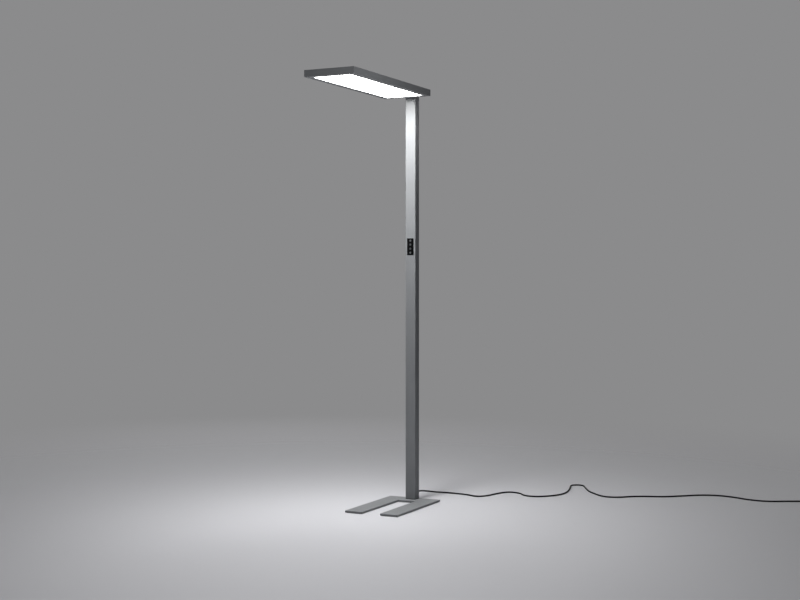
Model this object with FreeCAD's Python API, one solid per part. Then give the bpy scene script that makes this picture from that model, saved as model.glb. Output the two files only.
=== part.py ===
import FreeCAD, Part
import math
import os

# Office floor lamp: a forked steel base, a slim rectangular column with a four-key control
# panel, and a long flat lighting head that reaches forward over the desk.
# Millimetres. +Z is up, X is across, and the front of the lamp faces -Y.
# The origin is on the floor, on the axis of the column.

V = FreeCAD.Vector
os.makedirs("parts", exist_ok=True)

# ---------------------------------------------------------------- overall and column
lamp_height = 1950.0
column_width = 52.0
column_depth = 44.0
column_wall = 2.5
column_corner_radius = 3.0
bore_corner_radius = 1.0
cap_thickness = 3.0
cap_edge_radius = 0.8
gasket_thickness = 2.0
gasket_inset = 0.5
insert_gap = 0.2

# ---------------------------------------------------------------- base
base_width = 266.0
base_front_reach = 430.0
base_rear_reach = 30.0
plate_thickness = 9.0
plate_corner_radius = 2.0
plate_edge_radius = 1.0
slot_width = 90.0
slot_rear_reach = 62.0
mat_thickness = 1.5
mat_inset = 4.0

# ---------------------------------------------------------------- inside the column foot
foot_block_height = 70.0
foot_screw_x = 14.0
foot_screw_y = 10.0
side_screw_x = 15.0
side_screw_height = 54.5
cable_line_y = 6.0
cable_slot_width = 16.0
cable_slot_margin = 2.7
clamp_width = 34.0
clamp_depth = 14.0
clamp_height = 8.0
clamp_screw_x = 12.5
clamp_edge_radius = 1.5
bracket_width = 30.0
bracket_thickness = 1.5
bracket_height = 54.0
bracket_flange = 12.0
bracket_web_y = -6.0
bracket_screw_x = 9.0
terminal_width = 28.0
terminal_depth = 20.0
terminal_height = 25.0
terminal_lift = 24.0
terminal_pole_count = 3
terminal_well_depth = 4.0
terminal_well_share = 0.27

# ---------------------------------------------------------------- driver and inner leads
driver_lift = 44.0
driver_width = 30.0
driver_depth = 21.0
driver_length = 280.0
driver_edge_radius = 1.0
driver_lug_width = 22.0
driver_lug_length = 12.0
driver_lug_thickness = 3.0
supply_lead_diameter = 5.0
led_lead_diameter = 4.5
led_lead_bend = 10.0
neck_cable_y = 13.0
control_lead_diameter = 3.0
control_lead_bend = 10.0
control_lead_x = 9.0
control_lead_y = 2.0
control_lead_drop = 8.5
board_lead_diameter = 2.4
board_lead_gap = 0.02

# ---------------------------------------------------------------- control panel
panel_centre_height = 1216.0
panel_width = 34.0
panel_height = 80.0
panel_proud = 1.0
panel_corner_radius = 3.0
cutout_width = 31.0
cutout_height = 77.0
cutout_corner_radius = 2.0
cutout_gap = 0.2
bezel_insert_depth = 4.5
bezel_hook_width = 10.0
bezel_hook_reach = 0.8
bezel_hook_gap = 0.1
key_radius = 5.5
key_gap = 0.2
key_pitch = 19.0
key_proud = 0.8
key_travel = 0.8
key_edge_radius = 0.5
key_dish_radius = 34.0
key_dish_depth = 0.3
key_flange_radius = 6.5
key_flange_thickness = 1.0
key_skirt_depth = 3.0
key_stop_gap = 0.05
key_stem_radius = 1.5
boss_radius = 2.5
housing_wall = 1.2
housing_depth = 8.3
control_board_thickness = 1.6
switch_size = 6.0
switch_height = 3.5
switch_bore_spare = 0.6
switch_engagement = 0.6

# ---------------------------------------------------------------- head
head_length = 760.0
head_width = 240.0
head_thickness = 30.0
neck_gap = 32.0
rail_wall = 2.5
rail_edge_radius = 0.8
bezel_width = 28.0
bezel_thickness = 2.0
ledge_width = 10.0
ledge_thickness = 2.0
mitre_gap = 0.1
cover_thickness = 1.5
sheet_gap = 0.5
cover_gap = 0.2
diffuser_thickness = 3.0
light_guide_thickness = 4.0
reflector_thickness = 1.0
back_plate_thickness = 2.0
led_board_thickness = 1.5
led_board_end_margin = 27.0
led_size = 3.0
led_height = 1.0
led_pitch = 20.0
led_gap = 0.3
corner_leg = 26.0
corner_thickness = 3.0
cover_screws_per_side = 4
cover_screws_per_end = 2
cover_screw_margin = 30.0

# ---------------------------------------------------------------- neck
mount_plate_width = 90.0
mount_plate_length = 230.0
mount_plate_thickness = 4.0
mount_screw_x = 36.0
mount_screw_margin = 20.0
arm_width = 36.0
arm_thickness = 10.0
arm_reach = 170.0
arm_tail = 3.0
arm_groove_width = 6.0
arm_groove_depth = 5.2
arm_groove_gap = 0.05
arm_screw_x = 11.0
arm_screw_margin = 30.0
arm_gap = 0.3
neck_block_drop = 30.0
neck_block_seat = 10.0
neck_screw_y = -6.0
neck_screw_bite = 8.0
neck_side_screw_drop = 15.0
neck_channel_width = 10.0
cap_screw_x = 14.0
cap_screw_y = 12.5
sleeve_wall = 2.0
sleeve_edge_radius = 0.8
sleeve_end_gap = 0.2
connector_width = 22.0
connector_length = 22.0
connector_height = 14.0
connector_offset = 13.0
connector_edge_radius = 1.0

# ---------------------------------------------------------------- mains cord
cord_diameter = 7.6
cord_exit_height = 36.0
relief_length = 30.0
relief_flange_radius = 7.5
relief_flange_thickness = 2.0
relief_neck_radius = 5.5
relief_lock_radius = 6.5
relief_lock_length = 2.5
relief_root_radius = 6.2
relief_tip_radius = 4.3
relief_groove_count = 4
relief_groove_width = 1.6
relief_groove_depth = 1.2
hole_gap = 0.1
inner_cord_bend = 10.0
cord_bend_share = 0.45

# ---------------------------------------------------------------- mains plug
plug_radius = 18.5
plug_front_length = 20.0
plug_rear_length = 15.0
plug_rear_radius = 12.0
plug_edge_radius = 1.5
plug_boot_length = 26.0
plug_boot_root_radius = 6.4
plug_boot_tip_radius = 4.2
plug_floor_gap = 0.1
pin_radius = 2.4
pin_length = 19.0
pin_half_spacing = 9.5
pin_seat_depth = 6.0
earth_clip_width = 6.0
earth_clip_thickness = 0.8
earth_clip_length = 17.0
earth_clip_inset = 1.6

# ---------------------------------------------------------------- fasteners
thread_gap = 0.03
clearance_gap = 0.15
socket_radius_share = 0.5
socket_depth_share = 0.55
base_screw_bite = 18.0
clamp_screw_bite = 9.0
bracket_screw_length = 9.0
side_screw_length = 14.0
cap_screw_length = 12.0
neck_side_length = 14.0
control_screw_tip_gap = 0.3
corner_screw_share = 0.62
rail_bite_share = 0.8


def countersunk_size(shank_radius, head_radius, head_height):
    """A countersunk screw: the cone's rim is its outer face."""
    return {"kind": "countersunk", "shank": shank_radius, "head": head_radius, "height": head_height}


def cap_size(shank_radius, head_radius, head_height):
    """A cap screw: the length is counted from under the head."""
    return {"kind": "cap", "shank": shank_radius, "head": head_radius, "height": head_height}


m8_countersunk = countersunk_size(4.0, 8.0, 4.4)
m5_countersunk = countersunk_size(2.5, 5.0, 2.8)
m4_countersunk = countersunk_size(2.0, 4.0, 2.3)
m3_countersunk = countersunk_size(1.5, 2.8, 1.3)
m5_cap = cap_size(2.5, 4.25, 5.0)
m4_cap = cap_size(2.0, 3.5, 2.6)
m25_cap = cap_size(1.25, 2.3, 1.6)

# ---------------------------------------------------------------- levels and places
plate_bottom = mat_thickness
plate_top = plate_bottom + plate_thickness
profile_bottom = plate_top + gasket_thickness
profile_top = lamp_height - cap_thickness
front_face = -column_depth / 2
rear_face = column_depth / 2
bore_width = column_width - 2 * column_wall
bore_depth = column_depth - 2 * column_wall
bore_front = front_face + column_wall
bore_rear = rear_face - column_wall
insert_width = bore_width - 2 * insert_gap
insert_depth = bore_depth - 2 * insert_gap
foot_block_top = plate_top + foot_block_height
driver_bottom = panel_centre_height + panel_height / 2 + driver_lift
driver_top = driver_bottom + driver_length

head_bottom = lamp_height - head_thickness
head_rear = front_face - neck_gap
head_front = head_rear - head_length
cavity_half_width = head_width / 2 - rail_wall
cavity_rear = head_rear - rail_wall
cavity_front = head_front + rail_wall
diffuser_level = head_bottom + bezel_thickness
guide_level = diffuser_level + diffuser_thickness
reflector_level = guide_level + light_guide_thickness
back_plate_level = reflector_level + reflector_thickness
mount_plate_level = back_plate_level + back_plate_thickness
arm_level = mount_plate_level + mount_plate_thickness
arm_top = arm_level + arm_thickness
ledge_top = lamp_height - cover_thickness
ledge_level = ledge_top - ledge_thickness
mount_plate_rear = cavity_rear - sheet_gap
mount_plate_front = mount_plate_rear - mount_plate_length
led_lead_level = arm_top - arm_groove_depth + led_lead_diameter / 2 + arm_groove_gap

bezel_front = front_face - panel_proud
key_shoulder = front_face + key_skirt_depth - panel_proud
bezel_back = front_face + bezel_insert_depth
housing_back = bezel_back + housing_depth
control_board_back = housing_back - housing_wall
control_board_front = control_board_back - control_board_thickness
switch_front = control_board_front - switch_height
switch_bore_depth = switch_engagement + key_travel + switch_bore_spare


# ---------------------------------------------------------------- shape helpers
def block(x0, x1, y0, y1, z0, z1):
    """A box between two opposite corners."""
    return Part.makeBox(x1 - x0, y1 - y0, z1 - z0, V(x0, y0, z0))


def rod(radius, length, start, direction):
    return Part.makeCylinder(radius, length, V(*start), V(*direction))


def taper(start_radius, end_radius, length, start, direction):
    return Part.makeCone(start_radius, end_radius, length, V(*start), V(*direction))


def round_upright_edges(solid, radius):
    """Rounds every edge that runs along Z."""
    upright = [e for e in solid.Edges if is_along(e, V(0, 0, 1))]
    return solid.makeFillet(radius, upright)


def is_along(edge, direction):
    if not isinstance(edge.Curve, Part.Line):
        return False
    return abs(abs(edge.Curve.Direction.dot(direction)) - 1.0) < 1e-6


def edges_at_level(solid, level):
    """The edges that lie wholly at one height."""
    found = []
    for edge in solid.Edges:
        box = edge.BoundBox
        if abs(box.ZMin - level) < 1e-6 and abs(box.ZMax - level) < 1e-6:
            found.append(edge)
    return found


def centred_prism(width, depth, z0, z1, radius):
    """An upright block about the column axis, with rounded upright edges."""
    solid = block(-width / 2, width / 2, -depth / 2, depth / 2, z0, z1)
    return round_upright_edges(solid, radius)


def cut_all(solid, tools):
    for tool in tools:
        solid = solid.cut(tool)
    return solid


def fuse_all(solids):
    result = solids[0]
    for solid in solids[1:]:
        result = result.fuse(solid)
    return result.removeSplitter()


def bent_line(points, radii):
    """Straight runs joined by tangent arcs, one radius for each inner point."""
    corners = [V(*p) for p in points]
    edges = []
    last = corners[0]
    for i in range(1, len(corners) - 1):
        into = (corners[i] - corners[i - 1]).normalize()
        out = (corners[i + 1] - corners[i]).normalize()
        half_turn = into.getAngle(out) / 2
        reach = radii[i - 1] * math.tan(half_turn)
        start = corners[i] - into * reach
        end = corners[i] + out * reach
        inward = (out - into).normalize()
        centre = corners[i] + inward * (radii[i - 1] / math.cos(half_turn))
        middle = centre - inward * radii[i - 1]
        edges.append(Part.LineSegment(last, start).toShape())
        edges.append(Part.Arc(start, middle, end).toShape())
        last = end
    edges.append(Part.LineSegment(last, corners[-1]).toShape())
    return Part.Wire(edges)


def tube_along(points, radii, diameter):
    """A round lead that follows the bent line."""
    path = bent_line(points, radii)
    start = V(*points[0])
    heading = V(*points[1]) - start
    rim = Part.Wire(Part.makeCircle(diameter / 2, start, heading))
    return path, path.makePipeShell([rim], True, False)


# ---------------------------------------------------------------- screws and their holes
def screw(size, length, seat, direction):
    """A screw with a hexagon socket. The seat is the head's outer face, or under a cap head."""
    aim = V(*direction)
    place = V(*seat)
    if size["kind"] == "countersunk":
        outer = place
        head = Part.makeCone(size["head"], size["shank"], size["height"], outer, aim)
        shank_start = outer + aim * size["height"]
        shank = Part.makeCylinder(size["shank"], length - size["height"], shank_start, aim)
    else:
        outer = place - aim * size["height"]
        head = Part.makeCylinder(size["head"], size["height"], outer, aim)
        shank = Part.makeCylinder(size["shank"], length, place, aim)
    return head.fuse(shank).removeSplitter().cut(hexagon_socket(size, outer, aim))


def hexagon_socket(size, outer, aim):
    side = V(0, 0, 1) if abs(aim.z) < 0.5 else V(1, 0, 0)
    other = aim.cross(side)
    radius = size["head"] * socket_radius_share
    depth = size["height"] * socket_depth_share
    corners = []
    for k in range(7):
        angle = math.radians(60 * k)
        corners.append(outer + side * (radius * math.cos(angle)) + other * (radius * math.sin(angle)))
    return Part.Face(Part.makePolygon(corners)).extrude(aim * depth)


def screw_hole(size, length, seat, direction, gap):
    """The room that one screw needs, with a gap around it."""
    aim = V(*direction)
    place = V(*seat)
    shank = Part.makeCylinder(size["shank"] + gap, length + gap, place, aim)
    if size["kind"] == "countersunk":
        head = Part.makeCone(size["head"] + gap, size["shank"] + gap, size["height"], place, aim)
        return head.fuse(shank)
    head = Part.makeCylinder(size["head"] + gap, size["height"] + gap, place, aim * -1)
    return head.fuse(shank)


def screws(size, length, seats):
    """One group of like screws; each seat is a place and a direction."""
    return Part.makeCompound([screw(size, length, place, aim) for place, aim in seats])


def screw_holes(size, length, seats, gap):
    return [screw_hole(size, length, place, aim, gap) for place, aim in seats]


UP = (0, 0, 1)
DOWN = (0, 0, -1)
FORWARD = (0, -1, 0)
BACKWARD = (0, 1, 0)

base_screw_length = plate_thickness + base_screw_bite
base_seats = [((sx * foot_screw_x, sy * foot_screw_y, plate_bottom), UP)
              for sx in (-1, 1) for sy in (-1, 1)]

side_seats = [((sx * side_screw_x, rear_face, plate_top + side_screw_height), FORWARD) for sx in (-1, 1)]

clamp_screw_length = clamp_height + clamp_screw_bite
clamp_seats = [((sx * clamp_screw_x, cable_line_y, foot_block_top + clamp_height), DOWN) for sx in (-1, 1)]

bracket_screw_y = bracket_web_y - bracket_thickness - bracket_flange / 2
bracket_seats = [((sx * bracket_screw_x, bracket_screw_y, foot_block_top + bracket_thickness), DOWN)
                 for sx in (-1, 1)]

driver_screw_length = column_wall + driver_lug_thickness
driver_seats = [((0, rear_face, driver_bottom - driver_lug_length / 2), FORWARD),
                ((0, rear_face, driver_top + driver_lug_length / 2), FORWARD)]

cap_seats = [((sx * cap_screw_x, cap_screw_y, lamp_height), DOWN) for sx in (-1, 1)]

neck_side_seats = [((sx * side_screw_x, rear_face, arm_level - neck_side_screw_drop), FORWARD)
                   for sx in (-1, 1)]

arm_column_length = neck_block_seat + neck_screw_bite
arm_column_seats = [((sx * arm_screw_x, neck_screw_y, arm_level - neck_block_seat), UP) for sx in (-1, 1)]

arm_head_length = arm_thickness - m5_cap["height"] + mount_plate_thickness
arm_head_ys = (head_rear - arm_screw_margin, head_rear - arm_reach + arm_screw_margin)
arm_head_seats = [((sx * arm_screw_x, y, arm_top - m5_cap["height"]), DOWN)
                  for sx in (-1, 1) for y in arm_head_ys]

mount_screw_length = mount_plate_thickness + back_plate_thickness
mount_screw_ys = (mount_plate_rear - mount_screw_margin,
                  mount_plate_rear - mount_plate_length / 2,
                  mount_plate_front + mount_screw_margin)
mount_seats = [((sx * mount_screw_x, y, arm_level), DOWN) for sx in (-1, 1) for y in mount_screw_ys]

control_screw_length = housing_depth - control_screw_tip_gap
control_seats = [((0, housing_back, panel_centre_height + sz * key_pitch), FORWARD) for sz in (-1, 1)]


def corner_seats():
    """Two screws in each corner bracket, one into each rail."""
    level = (mount_plate_level + ledge_level) / 2
    along = corner_leg * corner_screw_share
    seats = []
    for sx in (-1, 1):
        for end, sy in ((cavity_rear, 1), (cavity_front, -1)):
            side_face = sx * (cavity_half_width - corner_thickness)
            seats.append(((side_face, end - sy * along, level), (sx, 0, 0)))
            seats.append(((sx * (cavity_half_width - along), end - sy * corner_thickness, level), (0, sy, 0)))
    return seats


corner_screw_length = corner_thickness + rail_wall * rail_bite_share


def spread(first, last, count):
    """Evenly spaced places, both ends included."""
    return [first + (last - first) * k / (count - 1) for k in range(count)]


def cover_seats():
    """Screws around the top cover, on the middle of the ledge."""
    inset = (rail_wall + ledge_width) / 2
    side_x = head_width / 2 - inset
    seats = []
    for y in spread(head_front + cover_screw_margin, head_rear - cover_screw_margin, cover_screws_per_side):
        seats.append(((-side_x, y, lamp_height), DOWN))
        seats.append(((side_x, y, lamp_height), DOWN))
    end_x = head_width / 2 - 2 * cover_screw_margin
    for x in spread(-end_x, end_x, cover_screws_per_end):
        seats.append(((x, head_front + inset, lamp_height), DOWN))
        seats.append(((x, head_rear - inset, lamp_height), DOWN))
    return seats


cover_screw_length = cover_thickness + ledge_thickness


# ---------------------------------------------------------------- base
def fork(inset, z0, z1):
    """The forked outline: a rectangle with a slot that is open to the front."""
    half = base_width / 2 - inset
    slot_half = slot_width / 2 + inset
    front = -base_front_reach + inset
    outer = block(-half, half, front, base_rear_reach - inset, z0, z1)
    slot = block(-slot_half, slot_half, front - 1, -slot_rear_reach + inset, z0 - 1, z1 + 1)
    return round_upright_edges(outer.cut(slot), plate_corner_radius)


def make_base_plate():
    plate = fork(0, plate_bottom, plate_top)
    plate = plate.makeFillet(plate_edge_radius, edges_at_level(plate, plate_top))
    return cut_all(plate, screw_holes(m8_countersunk, base_screw_length, base_seats, clearance_gap))


def make_base_mat():
    return fork(mat_inset, 0, mat_thickness)


# ---------------------------------------------------------------- column
def make_foot_gasket():
    inset = 2 * gasket_inset
    ring = centred_prism(column_width - inset, column_depth - inset, plate_top, profile_bottom,
                         column_corner_radius - gasket_inset)
    bore = centred_prism(bore_width, bore_depth, plate_top - 1, profile_bottom + 1, bore_corner_radius)
    return ring.cut(bore)


def make_foot_block():
    solid = centred_prism(insert_width, insert_depth, plate_top, foot_block_top, bore_corner_radius)
    slot_front = cable_line_y - cord_diameter / 2 - cable_slot_margin
    slot_floor = cord_exit_height - cable_slot_width / 2
    slot = block(-cable_slot_width / 2, cable_slot_width / 2, slot_front, bore_rear, slot_floor,
                 foot_block_top + 1)
    tools = [slot]
    tools += screw_holes(m8_countersunk, base_screw_length, base_seats, thread_gap)
    tools += screw_holes(m5_countersunk, side_screw_length, side_seats, thread_gap)
    tools += screw_holes(m4_cap, clamp_screw_length, clamp_seats, thread_gap)
    tools += screw_holes(m4_cap, bracket_screw_length, bracket_seats, thread_gap)
    return cut_all(solid, tools)


def make_column_profile():
    outer = centred_prism(column_width, column_depth, profile_bottom, profile_top, column_corner_radius)
    bore = centred_prism(bore_width, bore_depth, profile_bottom - 1, profile_top + 1, bore_corner_radius)
    half_notch = arm_width / 2 + arm_gap
    notch = block(-half_notch, half_notch, front_face - 1, 0, arm_level - arm_gap, profile_top + 1)
    gland_hole = rod(relief_neck_radius + hole_gap, column_wall + 2, (0, bore_rear - 1, cord_exit_height),
                     BACKWARD)
    tools = [bore, notch, panel_opening(0, front_face - 1, 0), gland_hole]
    tools += screw_holes(m5_countersunk, side_screw_length, side_seats, clearance_gap)
    tools += screw_holes(m5_countersunk, neck_side_length, neck_side_seats, clearance_gap)
    tools += screw_holes(m4_countersunk, driver_screw_length, driver_seats, clearance_gap)
    return cut_all(outer, tools)


def make_column_cap():
    cap = centred_prism(column_width, column_depth, profile_top, lamp_height, column_corner_radius)
    cap = cap.makeFillet(cap_edge_radius, edges_at_level(cap, lamp_height))
    return cut_all(cap, screw_holes(m4_countersunk, cap_screw_length, cap_seats, clearance_gap))


# ---------------------------------------------------------------- cord entry and terminal
def make_cord_relief():
    """Moulded bush: a lock behind the wall, a flange outside it and a tapered, grooved tail."""
    level = cord_exit_height
    lock = rod(relief_lock_radius, relief_lock_length, (0, bore_rear - relief_lock_length, level), BACKWARD)
    neck = rod(relief_neck_radius, column_wall + 1, (0, bore_rear - 1, level), BACKWARD)
    flange = rod(relief_flange_radius, relief_flange_thickness, (0, rear_face, level), BACKWARD)
    tail_start = rear_face + relief_flange_thickness
    tail_length = relief_length - relief_flange_thickness
    tail = taper(relief_root_radius, relief_tip_radius, tail_length, (0, tail_start, level), BACKWARD)
    bush = fuse_all([lock, neck, flange, tail])
    return cut_all(bush, tail_grooves(tail_start, tail_length))


def tail_grooves(tail_start, tail_length):
    """The ring grooves that let the tail flex."""
    slots = []
    pitch = tail_length / (relief_groove_count + 1)
    for k in range(relief_groove_count):
        y = tail_start + pitch * (k + 1)
        share = (y - tail_start) / tail_length
        radius = relief_root_radius + (relief_tip_radius - relief_root_radius) * share
        start = (0, y - relief_groove_width / 2, cord_exit_height)
        ring = rod(radius + 1, relief_groove_width, start, BACKWARD)
        core = rod(radius - relief_groove_depth, relief_groove_width, start, BACKWARD)
        slots.append(ring.cut(core))
    return slots


terminal_bottom = foot_block_top + terminal_lift


def make_inner_cord():
    start = (0, bore_rear - relief_lock_length, cord_exit_height)
    corner = (0, cable_line_y, cord_exit_height)
    end = (0, cable_line_y, terminal_bottom)
    return tube_along([start, corner, end], [inner_cord_bend], cord_diameter)[1]


def make_cord_clamp():
    solid = block(-clamp_width / 2, clamp_width / 2, cable_line_y - clamp_depth / 2,
                  cable_line_y + clamp_depth / 2, foot_block_top, foot_block_top + clamp_height)
    solid = round_upright_edges(solid, clamp_edge_radius)
    bore = rod(cord_diameter / 2 + hole_gap, clamp_height + 2, (0, cable_line_y, foot_block_top - 1), UP)
    return cut_all(solid.cut(bore), screw_holes(m4_cap, clamp_screw_length, clamp_seats, clearance_gap))


def make_terminal_bracket():
    web = block(-bracket_width / 2, bracket_width / 2, bracket_web_y - bracket_thickness, bracket_web_y,
                foot_block_top, foot_block_top + bracket_height)
    flange = block(-bracket_width / 2, bracket_width / 2,
                   bracket_web_y - bracket_thickness - bracket_flange, bracket_web_y,
                   foot_block_top, foot_block_top + bracket_thickness)
    bracket = fuse_all([web, flange])
    return cut_all(bracket, screw_holes(m4_cap, bracket_screw_length, bracket_seats, clearance_gap))


def make_terminal_block():
    """Three poles side by side, each with a screw well on its rear face."""
    solid = block(-terminal_width / 2, terminal_width / 2, bracket_web_y, bracket_web_y + terminal_depth,
                  terminal_bottom, terminal_bottom + terminal_height)
    pole = terminal_width / terminal_pole_count
    wells = []
    for k in range(terminal_pole_count):
        x = -terminal_width / 2 + pole * (k + 0.5)
        for level in (0.25, 0.75):
            place = (x, bracket_web_y + terminal_depth - terminal_well_depth,
                     terminal_bottom + terminal_height * level)
            wells.append(rod(pole * terminal_well_share, terminal_well_depth + 1, place, BACKWARD))
    return cut_all(solid, wells)


# ---------------------------------------------------------------- driver and leads
def make_led_driver():
    rear = bore_rear
    body = block(-driver_width / 2, driver_width / 2, rear - driver_depth, rear, driver_bottom, driver_top)
    body = round_upright_edges(body, driver_edge_radius)
    lug_front = rear - driver_lug_thickness
    half = driver_lug_width / 2
    lower = block(-half, half, lug_front, rear, driver_bottom - driver_lug_length, driver_bottom)
    upper = block(-half, half, lug_front, rear, driver_top, driver_top + driver_lug_length)
    driver = fuse_all([body, lower, upper])
    return cut_all(driver, screw_holes(m4_countersunk, driver_screw_length, driver_seats, thread_gap))


def make_supply_lead():
    bottom = terminal_bottom + terminal_height
    return rod(supply_lead_diameter / 2, driver_bottom - bottom, (0, cable_line_y, bottom), UP)


connector_rear = mount_plate_front - connector_offset


def make_led_lead():
    """From the driver up the column, over the arm in its groove, and on to the head's connector."""
    corner = (0, neck_cable_y, led_lead_level)
    points = [(0, neck_cable_y, driver_top), corner, (0, connector_rear, led_lead_level)]
    return tube_along(points, [led_lead_bend], led_lead_diameter)[1]


def make_control_lead():
    level = panel_centre_height + cutout_height / 2 - control_lead_drop
    points = [(control_lead_x, housing_back, level),
              (control_lead_x, control_lead_y, level),
              (control_lead_x, control_lead_y, driver_bottom)]
    return tube_along(points, [control_lead_bend], control_lead_diameter)[1]


# ---------------------------------------------------------------- control panel
def panel_opening(gap, y0, y1):
    """The cut-out in the column's front wall, or what fills it with a gap all round."""
    half_width = cutout_width / 2 - gap
    half_height = cutout_height / 2 - gap
    solid = block(-half_width, half_width, y0, y1, panel_centre_height - half_height,
                  panel_centre_height + half_height)
    return round_edges_along_y(solid, cutout_corner_radius)


def round_edges_along_y(solid, radius):
    return solid.makeFillet(radius, [e for e in solid.Edges if is_along(e, V(0, 1, 0))])


key_levels = [panel_centre_height + key_pitch * (k - 1.5) for k in range(4)]


def make_control_bezel():
    half_width = panel_width / 2
    half_height = panel_height / 2
    plate = block(-half_width, half_width, bezel_front, front_face,
                  panel_centre_height - half_height, panel_centre_height + half_height)
    plate = round_edges_along_y(plate, panel_corner_radius)
    body = panel_opening(cutout_gap, front_face, bezel_back)
    hook_half = bezel_hook_width / 2
    hook_height = cutout_height / 2 + bezel_hook_reach
    hooks = block(-hook_half, hook_half, bore_front + bezel_hook_gap, bezel_back,
                  panel_centre_height - hook_height, panel_centre_height + hook_height)
    bosses = [rod(boss_radius, control_board_front - bezel_back + 1, (0, bezel_back - 1, z), BACKWARD)
              for z in (panel_centre_height - key_pitch, panel_centre_height + key_pitch)]
    bezel = fuse_all([plate, body, hooks] + bosses)
    tools = screw_holes(m25_cap, control_screw_length, control_seats, thread_gap)
    for z in key_levels:
        tools.append(rod(key_radius + key_gap, key_skirt_depth + 1, (0, bezel_front - 1, z), BACKWARD))
        tools.append(rod(key_flange_radius + key_gap, bezel_insert_depth, (0, key_shoulder, z), BACKWARD))
    return cut_all(bezel, tools)


def make_key(z):
    """A dished round key with a retaining flange and the stem that presses its switch."""
    front = bezel_front - key_proud
    flange_front = key_shoulder + key_stop_gap
    cap = rod(key_radius, flange_front - front, (0, front, z), BACKWARD)
    rim = [e for e in cap.Edges if abs(e.BoundBox.YMax - front) < 1e-6]
    cap = cap.makeFillet(key_edge_radius, rim)
    flange = rod(key_flange_radius, key_flange_thickness, (0, flange_front, z), BACKWARD)
    stem_start = flange_front + key_flange_thickness
    stem_end = switch_front + switch_engagement
    stem = rod(key_stem_radius, stem_end - stem_start, (0, stem_start, z), BACKWARD)
    dish_centre = front + key_dish_depth - key_dish_radius
    dish = Part.makeSphere(key_dish_radius, V(0, dish_centre, z))
    return fuse_all([cap, flange, stem]).cut(dish)


def make_control_housing():
    half_width = cutout_width / 2 - cutout_gap
    half_height = cutout_height / 2 - cutout_gap
    low = panel_centre_height - half_height
    high = panel_centre_height + half_height
    outer = panel_opening(cutout_gap, bezel_back, housing_back)
    inner = block(-half_width + housing_wall, half_width - housing_wall, bezel_back - 1, control_board_back,
                  low + housing_wall, high - housing_wall)
    return cut_all(outer.cut(inner), screw_holes(m25_cap, control_screw_length, control_seats, clearance_gap))


def make_control_board():
    half_width = cutout_width / 2 - cutout_gap - housing_wall - cutout_gap
    half_height = cutout_height / 2 - cutout_gap - housing_wall - cutout_gap
    board = block(-half_width, half_width, control_board_front, control_board_back,
                  panel_centre_height - half_height, panel_centre_height + half_height)
    return cut_all(board, screw_holes(m25_cap, control_screw_length, control_seats, clearance_gap))


def make_key_switches():
    half = switch_size / 2
    group = []
    for z in key_levels:
        body = block(-half, half, switch_front, control_board_front, z - half, z + half)
        bore = rod(key_stem_radius + key_gap, switch_bore_depth, (0, switch_front, z), BACKWARD)
        group.append(body.cut(bore))
    return Part.makeCompound(group)


# ---------------------------------------------------------------- neck
def make_neck_block():
    """Fills the top of the column; the arm lies in its pocket and the lead climbs behind it."""
    bottom = arm_level - neck_block_drop
    solid = centred_prism(insert_width, insert_depth, bottom, profile_top, bore_corner_radius)
    half = arm_width / 2 + arm_gap
    pocket = block(-half, half, bore_front - 1, arm_tail + arm_gap, arm_level, profile_top + 1)
    channel_half = neck_channel_width / 2
    channel = block(-channel_half, channel_half, arm_tail, bore_rear, bottom - 1, profile_top + 1)
    tools = [pocket, channel]
    for place, aim in arm_column_seats:
        access_depth = place[2] - bottom + 1
        tools.append(rod(m5_cap["head"] + clearance_gap, access_depth, (place[0], place[1], bottom - 1), UP))
    tools += screw_holes(m5_cap, arm_column_length, arm_column_seats, clearance_gap)
    tools += screw_holes(m5_countersunk, neck_side_length, neck_side_seats, thread_gap)
    tools += screw_holes(m4_countersunk, cap_screw_length, cap_seats, thread_gap)
    return cut_all(solid, tools)


def make_neck_arm():
    front = head_rear - arm_reach
    bar = block(-arm_width / 2, arm_width / 2, front, arm_tail, arm_level, arm_top)
    groove = block(-arm_groove_width / 2, arm_groove_width / 2, front - 1, arm_tail + 1,
                   arm_top - arm_groove_depth, arm_top + 1)
    tools = [groove]
    tools += screw_holes(m5_cap, arm_column_length, arm_column_seats, thread_gap)
    tools += screw_holes(m5_cap, arm_head_length, arm_head_seats, clearance_gap)
    return cut_all(bar, tools)


def make_neck_sleeve():
    """A short box sleeve that hides the arm between the column and the head."""
    half = arm_width / 2 + arm_gap + sleeve_wall
    low = arm_level - arm_gap - sleeve_wall
    high = arm_top + sleeve_wall
    front = head_rear + sleeve_end_gap
    rear = front_face - sleeve_end_gap
    outer = block(-half, half, front, rear, low, high)
    outer = round_edges_along_y(outer, sleeve_edge_radius)
    inner = block(-half + sleeve_wall, half - sleeve_wall, front - 1, rear + 1, low + sleeve_wall, arm_top)
    return outer.cut(inner)


# ---------------------------------------------------------------- head frame
def rail_section():
    """The rail's cross-section: inward distance and height, from the outer lower corner."""
    r = rail_edge_radius
    bulge = r * (1 - math.sqrt(0.5))
    low_ledge = ledge_level - head_bottom
    high_ledge = ledge_top - head_bottom
    lines = [(r, 0), (bezel_width, 0), (bezel_width, bezel_thickness), (rail_wall, bezel_thickness),
             (rail_wall, low_ledge), (ledge_width, low_ledge), (ledge_width, high_ledge),
             (rail_wall, high_ledge), (rail_wall, head_thickness), (r, head_thickness)]
    upper = [(r, head_thickness), (bulge, head_thickness - bulge), (0, head_thickness - r)]
    lower = [(0, r), (bulge, bulge), (r, 0)]
    return lines, upper, lower


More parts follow.
